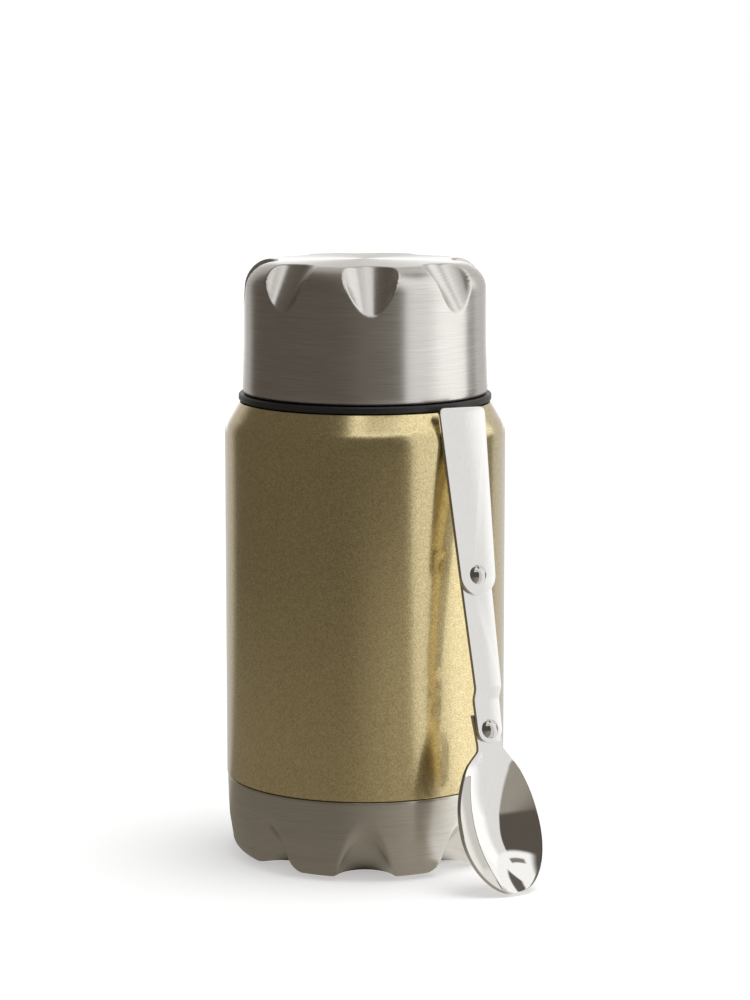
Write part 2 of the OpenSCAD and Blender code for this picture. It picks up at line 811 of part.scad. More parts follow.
outer_shell();
inner_flask();
shell_bottom();
seal_bead();
getter_holder();
getter_pill();
base_cup();
base_adhesive();
stopper_body();
stopper_cover();
stopper_gasket();
stopper_foam();
vent_button();
vent_valve();
vent_spring();
lid_shell();
lid_liner();
lid_gasket();
spoon_handle();
spoon_link();
spoon_bowl();
spoon_rivets();
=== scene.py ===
import bpy
import json
import math
from mathutils import Matrix, Vector

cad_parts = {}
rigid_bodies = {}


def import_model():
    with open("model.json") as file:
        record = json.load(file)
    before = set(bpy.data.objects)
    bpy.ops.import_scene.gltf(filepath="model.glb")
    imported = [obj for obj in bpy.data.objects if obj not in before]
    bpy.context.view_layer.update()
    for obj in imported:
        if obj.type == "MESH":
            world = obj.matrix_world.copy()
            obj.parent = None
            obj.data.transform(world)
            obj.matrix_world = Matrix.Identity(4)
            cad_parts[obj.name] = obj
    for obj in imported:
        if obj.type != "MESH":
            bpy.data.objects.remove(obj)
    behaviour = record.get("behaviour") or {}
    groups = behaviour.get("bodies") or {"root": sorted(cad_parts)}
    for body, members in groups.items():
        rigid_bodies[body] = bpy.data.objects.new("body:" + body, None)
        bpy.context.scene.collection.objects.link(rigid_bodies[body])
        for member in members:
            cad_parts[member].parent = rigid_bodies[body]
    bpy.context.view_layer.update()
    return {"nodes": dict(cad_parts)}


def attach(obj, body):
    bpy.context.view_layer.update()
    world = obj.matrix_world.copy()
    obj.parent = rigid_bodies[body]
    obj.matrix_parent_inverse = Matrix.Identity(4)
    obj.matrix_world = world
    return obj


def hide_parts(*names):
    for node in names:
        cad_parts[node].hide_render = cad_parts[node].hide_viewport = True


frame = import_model()
mm = 0.001
print("frame loaded:", len(frame["nodes"]), "nodes")

cameraSet = {
    "place": (2.83 * mm, -892.6 * mm, 240.2 * mm), "down": 8.79,  # degrees below level
    "lens": 113.49, "sensor": 36, "nearest": 0.01, "farthest": 60,
}

cameraData = bpy.data.cameras.new("camera")
cameraData.lens = cameraSet["lens"]
cameraData.sensor_width = cameraSet["sensor"]
cameraData.clip_start = cameraSet["nearest"]
cameraData.clip_end = cameraSet["farthest"]
camera = bpy.data.objects.new("camera", cameraData)
camera.location = cameraSet["place"]
camera.rotation_euler = (math.radians(90 - cameraSet["down"]), 0, 0)
bpy.context.scene.collection.objects.link(camera)
bpy.context.scene.camera = camera
bpy.context.scene.view_settings.view_transform = "Standard"
print("camera ready")


def linearColour(hexText):
    # an sRGB hex value as linear red, green, blue, alpha
    parts = [int(hexText[i:i + 2], 16) / 255 for i in (1, 3, 5)]
    return [c / 12.92 if c <= 0.04045 else ((c + 0.055) / 1.055) ** 2.4 for c in parts] + [1.0]


def addNode(tree, kind, feeds=None, **settings):
    # feeds gives each input a value, or a socket to link it to
    node = tree.nodes.new(kind)
    for name, value in settings.items():
        setattr(node, name, value)
    for socket, value in (feeds or {}).items():
        if isinstance(value, bpy.types.NodeSocket):
            tree.links.new(value, node.inputs[socket])
        else:
            node.inputs[socket].default_value = value
    return node


def emptyMaterial(name):
    material = bpy.data.materials.new(name)
    material.use_nodes = True
    material.node_tree.nodes.clear()
    return material, material.node_tree


def finishMaterial(tree, surface):
    addNode(tree, "ShaderNodeOutputMaterial", {"Surface": surface})


def deselectAll():
    bpy.ops.object.select_all(action="DESELECT")


def makeActive(piece):
    deselectAll()
    piece.select_set(True)
    bpy.context.view_layer.objects.active = piece


def selectPoints(piece, test):
    # goes into edit mode with only those points selected whose place passes the test
    bpy.ops.object.mode_set(mode="OBJECT")
    for part in (piece.data.polygons, piece.data.edges, piece.data.vertices):
        part.foreach_set("select", [False] * len(part))
    for point in piece.data.vertices:
        point.select = test(point.co)
    bpy.ops.object.mode_set(mode="EDIT")
    bpy.ops.mesh.select_mode(type="VERT")


def editAll():
    # goes into edit mode with everything selected
    bpy.ops.object.mode_set(mode="EDIT")
    bpy.ops.mesh.select_all(action="SELECT")


def faceOutwards():
    # turns all faces outwards and leaves edit mode
    bpy.ops.mesh.select_all(action="SELECT")
    bpy.ops.mesh.normals_make_consistent(inside=False)
    bpy.ops.object.mode_set(mode="OBJECT")


def applyModifier(piece, kind, **settings):
    makeActive(piece)
    modifier = piece.modifiers.new(kind.lower(), kind)
    for name, value in settings.items():
        setattr(modifier, name, value)
    bpy.ops.object.modifier_apply(modifier=modifier.name)


def settle(piece, place=None):
    # takes the piece's place into its mesh, so that its object stays at the origin
    makeActive(piece)
    if place is not None:
        piece.matrix_world = place @ piece.matrix_world
    bpy.ops.object.transform_apply(location=True, rotation=True, scale=True)


def smooth(piece, angle):
    makeActive(piece)
    bpy.ops.object.shade_smooth_by_angle(angle=math.radians(angle))


def drawChain(name, points):
    # one point, drawn on along half a section by extruding it; points are radius and height in mm
    deselectAll()
    first = points[0]
    bpy.ops.mesh.primitive_plane_add(size=0.01 * mm, location=(first[0] * mm, 0, first[1] * mm))
    piece = bpy.context.object
    piece.name = name
    piece.data.name = name
    settle(piece)
    editAll()
    bpy.ops.mesh.merge(type="CENTER")
    last = first
    for point in points[1:]:
        step = ((point[0] - last[0]) * mm, 0, (point[1] - last[1]) * mm)
        bpy.ops.mesh.extrude_vertices_move(TRANSFORM_OT_translate={"value": step})
        last = point
    bpy.ops.object.mode_set(mode="OBJECT")
    return piece


def turnPiece(name, points, steps):
    # spins the drawn section once round the jar's axis; points run so that the outside is on their right
    piece = drawChain(name, points)
    editAll()
    bpy.ops.mesh.spin(steps=steps, angle=2 * math.pi, center=(0, 0, 0), axis=(0, 0, 1))
    bpy.ops.mesh.select_all(action="SELECT")
    bpy.ops.mesh.remove_doubles(threshold=0.002 * mm)
    faceOutwards()
    return piece


def arcPoints(centre, radius, start, end, count):
    angles = [math.radians(start + (end - start) * i / count) for i in range(count + 1)]
    return [(centre[0] + radius * math.cos(a), centre[1] + radius * math.sin(a)) for a in angles]


def line(a, b, count):
    return [(a[0] + (b[0] - a[0]) * i / count, a[1] + (b[1] - a[1]) * i / count) for i in range(count + 1)]


def smoothStep(low, high, value):
    t = min(1, max(0, (value - low) / (high - low)))
    return t * t * (3 - 2 * t)


def softLower(a, b, blend):
    # the lower of two values, rounded over where they meet
    h = min(1, max(0, 0.5 + 0.5 * (b - a) / blend))
    return b * (1 - h) + a * h - blend * h * (1 - h)


outOfReach = 1000  # mm, where the tool doesn't meet the sheet
leastPush = 1e-5   # mm, below this a point stays


def pressFace(press, across, along):
    # how far in the tapered tool reaches, at a place across its middle line and along it from its tip
    flare = math.radians(press["flare"])
    reach = along + press["radius"] / math.tan(flare)
    half = reach * math.sin(2 * flare)
    room = half ** 2 - 4 * math.cos(2 * flare) * (math.cos(flare) * across) ** 2
    if reach <= 0 or room <= 0:
        return outOfReach
    return (half - math.sqrt(room)) / (2 * math.cos(2 * flare))


def pressRecesses(piece, press):
    # pushes the sheet in, square to the tool's middle line, as far as the tool's face; lengths in mm
    cosLean = math.cos(math.radians(press["lean"]))
    sinLean = math.sin(math.radians(press["lean"]))
    up = press["up"]
    into = Vector((-cosLean, 0, -up * sinLean))
    for k in range(press["count"]):
        turn = Matrix.Rotation(math.radians(press["turned"] + 360 / press["count"] * k), 3, "Z")
        back = turn.inverted()
        for point in piece.data.vertices:
            local = back @ (point.co / mm)
            if local.x < press["from"] or abs(local.y) > press["half"]:
                continue
            x = local.x - press["at"][0]
            z = (local.z - press["at"][1]) * up
            depth = x * cosLean + z * sinLean
            face = pressFace(press, local.y, z * cosLean - x * sinLean)
            pushed = depth - softLower(depth, face, press["blend"])
            if pushed > leastPush:
                point.co = turn @ (local + into * pushed) * mm
    piece.data.update()


def objectPlace(tree):
    return addNode(tree, "ShaderNodeTexCoord").outputs["Object"]


def setTones(ramp, look, start, end):
    # the look's dark colour up to the ramp's start, its light one from the end on
    for element, place, tone in zip(ramp.color_ramp.elements, (start, end), ("dark", "light")):
        element.position = place
        element.color = linearColour(look[tone])


lineDeep = 0.01 * mm   # the height that a brushed line's relief is measured in
grainDeep = 0.03 * mm  # the same for paint and moulded grain


def brushedSteel(name, look):
    # stainless sheet, turned against an abrasive belt: fine lines round the jar stretch each light upwards
    material, tree = emptyMaterial(name)
    parts = addNode(tree, "ShaderNodeSeparateXYZ", {"Vector": objectPlace(tree)}).outputs
    flat = addNode(tree, "ShaderNodeCombineXYZ", {"X": parts["X"], "Y": parts["Y"]}).outputs[0]
    radius = addNode(tree, "ShaderNodeVectorMath", {0: flat}, operation="LENGTH").outputs["Value"]
    outward = addNode(tree, "ShaderNodeVectorMath", {0: flat}, operation="NORMALIZE").outputs["Vector"]
    side = addNode(tree, "ShaderNodeMath", {0: radius, 1: look["across"], 2: parts["Z"]},
                   operation="MULTIPLY_ADD").outputs[0]
    along = addNode(tree, "ShaderNodeVectorMath", {0: outward, 3: look["lineRun"]},
                    operation="SCALE").outputs["Vector"]
    lines = addNode(tree, "ShaderNodeMath", {0: side, 1: 1 / (look["lineWidth"] * mm)},
                    operation="MULTIPLY").outputs[0]
    split = addNode(tree, "ShaderNodeSeparateXYZ", {"Vector": along}).outputs
    place = addNode(tree, "ShaderNodeCombineXYZ", {"X": split["X"], "Y": split["Y"], "Z": lines}).outputs[0]
    scratch = addNode(tree, "ShaderNodeTexNoise", {
        "Vector": place, "Scale": 1.0, "Detail": 3.0, "Roughness": 0.6}).outputs["Fac"]
    shade = addNode(tree, "ShaderNodeValToRGB", {"Fac": scratch})
    setTones(shade, look, 0.28, 0.72)
    rough = addNode(tree, "ShaderNodeMapRange", {
        "Value": scratch, "From Min": 0.3, "From Max": 0.7,
        "To Min": look["rough"] - 0.03, "To Max": look["rough"] + 0.03}).outputs[0]
    relief = addNode(tree, "ShaderNodeBump", {
        "Height": scratch, "Strength": look["relief"], "Distance": lineDeep}).outputs[0]
    tangent = addNode(tree, "ShaderNodeTangent", direction_type="RADIAL", axis="Z").outputs[0]
    steel = addNode(tree, "ShaderNodeBsdfPrincipled", {
        "Base Color": shade.outputs["Color"], "Metallic": 1.0, "Roughness": rough,
        "Anisotropic": look["stretch"], "Anisotropic Rotation": 0.25,
        "Normal": relief, "Tangent": tangent})
    finishMaterial(tree, steel.outputs[0])
    return material


def goldPaint(name, look):
    # metallic lacquer, sprayed and baked: gold flakes that glint under a satin clear coat
    material, tree = emptyMaterial(name)
    place = objectPlace(tree)
    flakes = addNode(tree, "ShaderNodeTexVoronoi", {
        "Vector": place, "Scale": 1 / (look["flake"] * mm)}).outputs["Color"]
    grey = addNode(tree, "ShaderNodeRGBToBW", {"Color": flakes}).outputs[0]
    cloud = addNode(tree, "ShaderNodeTexNoise", {
        "Vector": place, "Scale": 1 / (look["cloud"] * mm), "Detail": 4.0}).outputs["Fac"]
    clouds = addNode(tree, "ShaderNodeMath", {0: cloud, 1: look["cloudShare"]},
                     operation="MULTIPLY").outputs[0]
    grain = addNode(tree, "ShaderNodeMath", {0: grey, 1: look["flakeShare"], 2: clouds},
                    operation="MULTIPLY_ADD").outputs[0]
    shade = addNode(tree, "ShaderNodeValToRGB", {"Fac": grain})
    setTones(shade, look, 0.25, 0.75)
    relief = addNode(tree, "ShaderNodeBump", {
        "Height": grey, "Strength": look["relief"], "Distance": grainDeep}).outputs[0]
    paint = addNode(tree, "ShaderNodeBsdfPrincipled", {
        "Base Color": shade.outputs["Color"], "Metallic": look["metal"], "Roughness": look["rough"],
        "Coat Weight": look["coat"], "Coat Roughness": look["coatRough"], "Coat IOR": 1.5,
        "Normal": relief})
    finishMaterial(tree, paint.outputs[0])
    return material


def polishedSteel(name, look):
    # stamped stainless sheet, tumbled and buffed: a mirror with a faint haze of buffing lines
    material, tree = emptyMaterial(name)
    stretch = addNode(tree, "ShaderNodeMapping", {
        "Vector": objectPlace(tree), "Rotation": (0, 0, math.radians(look["turned"])),
        "Scale": (1.0, 1.0, look["lineRun"])}).outputs[0]
    haze = addNode(tree, "ShaderNodeTexNoise", {
        "Vector": stretch, "Scale": 1 / (look["line"] * mm), "Detail": 3.0}).outputs["Fac"]
    shade = addNode(tree, "ShaderNodeValToRGB", {"Fac": haze})
    setTones(shade, look, 0.3, 0.7)
    rough = addNode(tree, "ShaderNodeMapRange", {
        "Value": haze, "From Min": 0.3, "From Max": 0.7,
        "To Min": look["rough"] * 0.8, "To Max": look["rough"] * 1.2}).outputs[0]
    steel = addNode(tree, "ShaderNodeBsdfPrincipled", {
        "Base Color": shade.outputs["Color"], "Metallic": 1.0, "Roughness": rough})
    finishMaterial(tree, steel.outputs[0])
    return material


def mouldedSurface(name, look):
    # plastics, rubbers, foam and plain metal: a fine grain in colour, gloss and relief
    material, tree = emptyMaterial(name)
    grain = addNode(tree, "ShaderNodeTexNoise", {
        "Vector": objectPlace(tree), "Scale": 1 / (look["grain"] * mm), "Detail": 4.0}).outputs["Fac"]
    shade = addNode(tree, "ShaderNodeValToRGB", {"Fac": grain})
    setTones(shade, look, 0.3, 0.7)
    rough = addNode(tree, "ShaderNodeMapRange", {
        "Value": grain, "From Min": 0.3, "From Max": 0.7,
        "To Min": look["rough"] - 0.04, "To Max": look["rough"] + 0.04}).outputs[0]
    relief = addNode(tree, "ShaderNodeBump", {
        "Height": grain, "Strength": look["relief"], "Distance": grainDeep}).outputs[0]
    body = addNode(tree, "ShaderNodeBsdfPrincipled", {
        "Base Color": shade.outputs["Color"], "Metallic": look.get("metal", 0.0), "Roughness": rough,
        "Transmission Weight": look.get("clear", 0.0), "Normal": relief})
    finishMaterial(tree, body.outputs[0])
    return material


# lines, flakes and grain have their sizes in mm; those of the steel and the paint are drawn coarser than
# real ones, so that they show; across says how the radius counts beside the height in spacing the lines
steelLook = {"dark": "#cac7c2", "light": "#e4e1dc", "rough": 0.3, "stretch": 0.8, "relief": 0.035,
             "lineWidth": 0.17, "lineRun": 3.0, "across": -1.0}
goldLook = {"dark": "#cab57e", "light": "#eadaa7", "rough": 0.2, "metal": 0.93, "coat": 1.0,
            "coatRough": 0.06, "flake": 0.3, "flakeShare": 0.7, "cloud": 0.9, "cloudShare": 0.3,
            "relief": 0.12}
spoonLook = {"dark": "#e3e1dd", "light": "#e7e5e2", "rough": 0.03, "line": 0.5, "lineRun": 0.06,
             "turned": -30}
rivetLook = {"dark": "#c2c0bc", "light": "#cccac6", "rough": 0.07, "line": 0.3, "lineRun": 0.06,
             "turned": -30}
blackLook = {"dark": "#181818", "light": "#222221", "rough": 0.42, "grain": 0.35, "relief": 0.1}

lidSteel = brushedSteel("brushedLidSteel", steelLook)
baseSteel = brushedSteel("brushedBaseSteel", dict(steelLook, across=1.0, dark="#cac5bb", light="#e4dfd5"))
gold = goldPaint("goldMetallicPaint", goldLook)
spoonSteel = polishedSteel("polishedSpoonSteel", spoonLook)
rivetSteel = polishedSteel("satinRivetSteel", rivetLook)
blackPlastic = mouldedSurface("blackPolypropylene", blackLook)  # moulded, satin
nodeLooks = {
    # drawn steel, satin
    "flaskSteel": (["inner_flask", "shell_bottom", "getter_holder"], {
        "dark": "#b4b2ae", "light": "#c8c6c2", "rough": 0.3, "grain": 0.5, "relief": 0.06, "metal": 1.0}),
    # melted sealing glass, glossy and a little clear
    "sealGlass": (["seal_bead"], {
        "dark": "#5a605c", "light": "#6a716c", "rough": 0.15, "grain": 0.8, "relief": 0.05, "clear": 0.3}),
    # sintered metal, grainy and dull
    "getterMetal": (["getter_pill"], {
        "dark": "#4a4a4a", "light": "#5e5e5d", "rough": 0.6, "grain": 0.12, "relief": 0.4, "metal": 1.0}),
    # waxy glue
    "hotMelt": (["base_adhesive"], {
        "dark": "#e2dccb", "light": "#ece7d9", "rough": 0.45, "grain": 1.5, "relief": 0.2}),
    # soft and matt
    "siliconeRubber": (["stopper_gasket", "vent_valve", "lid_gasket"], {
        "dark": "#dfdcd4", "light": "#ebe8e1", "rough": 0.55, "grain": 0.4, "relief": 0.08}),
    # white beads, rough to the eye
    "beadFoam": (["stopper_foam"], {
        "dark": "#e3e3df", "light": "#f2f2ef", "rough": 0.85, "grain": 1.2, "relief": 0.5}),
    # moulded, satin
    "greyPolypropylene": (["lid_liner"], {
        "dark": "#d2d3d4", "light": "#dcdddd", "rough": 0.4, "grain": 0.4, "relief": 0.08}),
    # moulded, dark grey, satin
    "buttonPlastic": (["vent_button"], {
        "dark": "#2b2c2e", "light": "#353638", "rough": 0.38, "grain": 0.35, "relief": 0.1}),
    # bright drawn wire
    "springWire": (["vent_spring"], {
        "dark": "#a8a8a8", "light": "#bfbfbf", "rough": 0.25, "grain": 0.2, "relief": 0.05, "metal": 1.0}),
}


def paintNodes(nodes, finish):
    for node in nodes:
        for slot in frame["nodes"][node].material_slots:
            slot.material = finish


for name, (nodes, look) in nodeLooks.items():
    paintNodes(nodes, mouldedSurface(name, look))
paintNodes(("stopper_body", "stopper_cover"), blackPlastic)
print("materials ready")


def dress(piece, material, body, node):
    piece.data.materials.clear()
    piece.data.materials.append(material)
    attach(piece, body)
    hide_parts(node)


# the pieces' lengths are in mm and their angles in degrees
bodySet = {
    "radius": 40, "wall": 0.6, "low": 23.4, "necked": 39, "cupTop": 23, "tail": (30, 6), "tailEdge": 2,
    "tailRise": 11.5, "tailLag": 0.2, "blend": 10, "blendHeight": 121.52, "shoulder": 30, "ringRadius": 36,
    "shoulderTop": 131.128, "neck": 28.8, "neckInner": 28.2, "neckTop": 143.028, "steps": 480,
    "lowEdge": {"round": 0.22, "rise": 0.2, "start": (0.35, 0.14)},
    "ringEdge": ((0.15, -0.26), (0.02, -0.06), (-0.12, 0)),
    "threadRoot": 28.5, "threadTip": 29.9, "threadWide": 1.7, "threadCrest": 0.9, "threadStart": 134.028,
    "lead": 16, "sweep": 120, "threadSteps": 24, "starts": 4,
}


def windThread(name, look):
    # the thread's section, extruded on, turned and raised a little at a time
    turn = look["sweep"] / look["threadSteps"]
    root = look["threadRoot"]
    tip = look["threadTip"]
    middle = (root + tip) / 2 * mm
    start = look["threadStart"] * mm
    half = 0.5 * mm
    deselectAll()
    bpy.ops.mesh.primitive_plane_add(size=2 * half, location=(middle, 0, start), rotation=(math.pi / 2, 0, 0))
    piece = bpy.context.object
    piece.name = name
    settle(piece)
    for side, at, wide in ((-1, root, look["threadWide"]), (1, tip, look["threadCrest"])):
        selectPoints(piece, lambda co: (co.x - middle) * side > 0)
        bpy.ops.transform.resize(value=(1, 1, wide), center_override=(middle, 0, start))
        bpy.ops.transform.translate(value=(at * mm - middle - side * half, 0, 0))
        bpy.ops.object.mode_set(mode="OBJECT")
    editAll()
    rise = (0, 0, look["lead"] * turn / 360 * mm)
    for i in range(look["threadSteps"]):
        bpy.ops.mesh.extrude_region_move(TRANSFORM_OT_translate={"value": rise})
        bpy.ops.transform.rotate(value=-math.radians(turn), orient_axis="Z", center_override=(0, 0, 0))
    bpy.ops.mesh.select_all(action="SELECT")
    bpy.ops.mesh.remove_doubles(threshold=0.001 * mm)
    faceOutwards()
    return piece


def addThreads(piece, look):
    # one thread is wound, the others are turned copies, and all join the piece
    one = windThread(piece.name + "Thread", look)
    copies = [one]
    for k in range(1, look["starts"]):
        makeActive(one)
        bpy.ops.object.duplicate(linked=False)
        copy = bpy.context.object
        settle(copy, Matrix.Rotation(2 * math.pi * k / look["starts"], 4, "Z"))
        copies.append(copy)
    makeActive(piece)
    for copy in copies:
        copy.select_set(True)
    bpy.ops.object.join()


def bodySection(look):
    # up the outside from the necked tail to the neck's top, and down the inside again
    r = look["radius"]
    w = look["wall"]
    low = look["low"]
    top = look["shoulderTop"]
    neck = look["neck"]
    necked = look["necked"]
    blend = look["blend"]
    tail, height = look["tail"]
    tailLow = height + look["tailEdge"]
    tailTop = height + look["tailRise"]
    lean = math.radians(look["shoulder"])
    centre = (r - blend, look["blendHeight"])
    coneFoot = (centre[0] + blend * math.cos(lean), centre[1] + blend * math.sin(lean))
    edge = look["lowEdge"]
    ring = [(look["ringRadius"] + out, top + up) for out, up in look["ringEdge"]]
    outside = line((tail, height), (tail, tailLow), 1)
    outside += line(outside[-1], (necked, tailTop), 3)[1:]
    outside += [(necked, look["cupTop"]), (r - edge["start"][0], low - edge["start"][1])]
    outside += arcPoints((r - edge["round"], low + edge["rise"]), edge["round"], -60, 0, 4)
    outside += line(outside[-1], (r, centre[1]), 24)[1:]
    outside += arcPoints(centre, blend, 0, look["shoulder"], 20)[1:]
    outside += line(coneFoot, ring[0], 8)[1:] + ring[1:]
    outside += line(outside[-1], (neck, top), 4)[1:]
    outside += line((neck, top), (neck, look["neckTop"]), 8)[1:]
    innerBlend = blend - w
    innerFoot = (centre[0] + innerBlend * math.cos(lean), centre[1] + innerBlend * math.sin(lean))
    roof = top - w
    inside = [(look["neckInner"], look["neckTop"]), (look["neckInner"], roof)]
    inside += [(innerFoot[0] - (roof - innerFoot[1]) * math.tan(lean), roof)]
    inside += arcPoints(centre, innerBlend, look["shoulder"], 0, 6)
    inside += [(r - w, low + w), (necked - w, look["cupTop"] + w), (necked - w, tailTop + look["tailLag"])]
    inside += [(tail - w, tailLow + look["tailLag"]), (tail - w, height), (tail, height)]
    return outside + inside


jarBody = turnPiece("jarBody", bodySection(bodySet), bodySet["steps"])
addThreads(jarBody, bodySet)
smooth(jarBody, 30)
dress(jarBody, gold, "jar", "outer_shell")
print("painted body:", len(jarBody.data.polygons), "faces")

baseSet = {
    "rim": (39.8, 23), "rimEdge": ((0, -0.12), (-0.04, -0.03), (-0.12, 0)), "middle": (39.5, 11.5),
    "corner": 6.2, "foot": 32.6, "footInner": 24, "slope": 2, "rise": 2, "wall": 0.6, "steps": 480,
    # the tool that presses the recesses: where its tip meets the wall, its lean, size and taper
    "press": {"at": (39.7, 14.8), "up": -1, "lean": 41, "radius": 5, "flare": 14.5, "half": 12, "from": 20,
              "count": 8, "turned": -90, "blend": 2.4},
}


def baseSection(look):
    # from the middle of the underside out to the foot and up the wall to the rim
    foot = look["foot"]
    inner = look["footInner"]
    corner = look["corner"]
    rim = [(look["rim"][0] + out, look["rim"][1] + up) for out, up in look["rimEdge"]]
    points = [(0, look["rise"])]
    points += line((inner - look["slope"], look["rise"]), (inner, 0), 3)
    points += line((inner, 0), (foot, 0), 14)[1:]
    points += arcPoints((foot, corner), corner, -90, 0, 22)[1:]
    points += line(points[-1], look["middle"], 7)[1:]
    points += line(look["middle"], rim[0], 14)[1:]
    return points + rim[1:]


def facesOut(piece):
    # true if the widest faces of the wall look away from the axis
    total = 0.0
    for face in piece.data.polygons:
        total += face.area * (face.normal.x * face.center.x + face.normal.y * face.center.y)
    return total > 0


def wallIn(piece, thickness):
    # faces point outwards first, then the sheet gets its thickness inwards
    if not facesOut(piece):
        makeActive(piece)
        editAll()
        bpy.ops.mesh.flip_normals()
        bpy.ops.object.mode_set(mode="OBJECT")
    applyModifier(piece, "SOLIDIFY", thickness=thickness * mm, offset=-1.0, use_even_offset=True)


baseCup = turnPiece("baseCup", baseSection(baseSet), baseSet["steps"])
pressRecesses(baseCup, baseSet["press"])
wallIn(baseCup, baseSet["wall"])
smooth(baseCup, 50)
dress(baseCup, baseSteel, "jar", "base_cup")
print("base cup:", len(baseCup.data.polygons), "faces")

lidSet = {
    "low": 133.628, "top": 171.428, "crown": 0.4, "radius": 34.5, "lowRadius": 34.9, "flareTop": 147.928,
    "corner": 7.5, "wall": 0.6, "steps": 480,
    "rolled": ((0.5, 0), (0.3, 0.12), (0.14, 0.5), (0.04, 1.1), (0, 1.8)),  # how far in, and how high
    "flareLow": (0.08, 3.2),
    "press": {"at": (34.5, 157.928), "up": 1, "lean": 38, "radius": 5.5, "flare": 15.5, "half": 12, "from": 20,
              "count": 8, "turned": -87, "blend": 0.35},
}


def lidSection(look):
    # from the rolled lower edge up the wall and over the lightly domed top
    r = look["radius"]
    low = look["low"]
    wide = look["lowRadius"]
    corner = look["corner"]
    flat = r - corner
    edge = look["top"] - look["crown"]
    points = [(wide - inward, low + up) for inward, up in look["rolled"]]
    points += line((wide - look["flareLow"][0], low + look["flareLow"][1]), (r, look["flareTop"]), 10)
    points += line((r, look["flareTop"]), (r, edge - corner), 34)[1:]
    points += arcPoints((flat, edge - corner), corner, 0, 90, 26)[1:]
    shares = [1 - i / 54 for i in range(1, 11)] + [0.7, 0.55, 0.4, 0.25, 0.1, 0]
    points += [(flat * share, look["top"] - look["crown"] * share ** 2) for share in shares]
    return points


lidShell = turnPiece("lidShell", lidSection(lidSet), lidSet["steps"])
pressRecesses(lidShell, lidSet["press"])
wallIn(lidShell, lidSet["wall"])
smooth(lidShell, 50)
dress(lidShell, lidSteel, "lid", "lid_shell")
print("lid:", len(lidShell.data.polygons), "faces")

spoonSet = {
    "turn": 30, "lean": 13.1, "lower": (33.874107, -43.911675, 45.121339), "links": 42.45, "sheet": 1.2,
    "handleAt": 3.3, "handleRound": 5.6, "handleWide": 14.7, "handleLong": 46.4, "handleCorner": 1.8,
    "handleTurn": 1.2, "linkLow": 0.15, "linkHigh": 1.95, "linkRound": 3.9, "linkWide": 9.8,
    "linkTail": 4.6, "linkCorner": 0.6, "joggle": (7.6, 11.9), "joggleRows": 16, "rivetHole": 1.55,
    "linkHole": 1.5, "edge": 0.18,
}
spoonTurn = Matrix.Rotation(math.radians(spoonSet["turn"]), 4, "Z")
spoonLean = Matrix.Rotation(math.radians(90 - spoonSet["lean"]), 4, "X")
spoonPlace = Matrix.Translation(Vector(spoonSet["lower"]) * mm) @ spoonTurn @ spoonLean


def cutOutline(name, rounded, half, length, corner):
    # a round end, two slightly spreading sides and a square end with small corners, as the blank is stamped
    near = 1e-6
    deselectAll()
    bpy.ops.mesh.primitive_circle_add(vertices=96, radius=rounded * mm, fill_type="NOTHING",
                                      location=(0, 0, 0))
    piece = bpy.context.object
    piece.name = name
    selectPoints(piece, lambda co: co.y > near)
    bpy.ops.mesh.delete(type="VERT")
    for side in (-1, 1):
        selectPoints(piece, lambda co: abs(co.y) < near and co.x * side > 0.9 * rounded * mm)
        step = (side * (half - rounded) * mm, length * mm, 0)
        bpy.ops.mesh.extrude_vertices_move(TRANSFORM_OT_translate={"value": step})
    selectPoints(piece, lambda co: co.y > 0.9 * length * mm)
    bpy.ops.mesh.edge_face_add()
    bpy.ops.mesh.bevel(offset=corner * mm, offset_type="OFFSET", segments=10, affect="VERTICES")
    bpy.ops.mesh.select_all(action="SELECT")
    bpy.ops.mesh.edge_face_add()
    bpy.ops.object.mode_set(mode="OBJECT")
    return piece


def cutHoles(piece, radius, places):
    # drills the rivet holes with a round tool
    for x, y in places:
        deselectAll()
        bpy.ops.mesh.primitive_cylinder_add(vertices=64, radius=radius * mm, depth=20 * mm,
                                            location=(x * mm, y * mm, 0))
        tool = bpy.context.object
        applyModifier(piece, "BOOLEAN", operation="DIFFERENCE", solver="EXACT", object=tool)
        bpy.data.objects.remove(tool)


def breakEdges(piece, width):
    # tumbled edges
    applyModifier(piece, "BEVEL", width=width * mm, segments=3, limit_method="ANGLE",
                  angle_limit=math.radians(50))


def thicken(piece, step):
    makeActive(piece)
    editAll()
    bpy.ops.mesh.extrude_region_move(TRANSFORM_OT_translate={"value": (0, 0, step * mm)})
    faceOutwards()


def makeHandle(look):
    piece = cutOutline("spoonHandle", look["handleRound"], look["handleWide"] / 2, look["handleLong"],
                       look["handleCorner"])
    thicken(piece, look["sheet"])
    breakEdges(piece, look["edge"])
    cutHoles(piece, look["rivetHole"], [(0, 0)])
    turn = Matrix.Rotation(-math.radians(look["handleTurn"]), 4, "Z")
    spot = Matrix.Translation(Vector((0, look["links"], look["handleAt"])) * mm) @ turn
    settle(piece, spoonPlace @ spot)
    smooth(piece, 30)
    return piece


handle = makeHandle(spoonSet)
dress(handle, spoonSteel, "spoon_handle", "spoon_handle")
print("spoon handle:", len(handle.data.polygons), "faces")


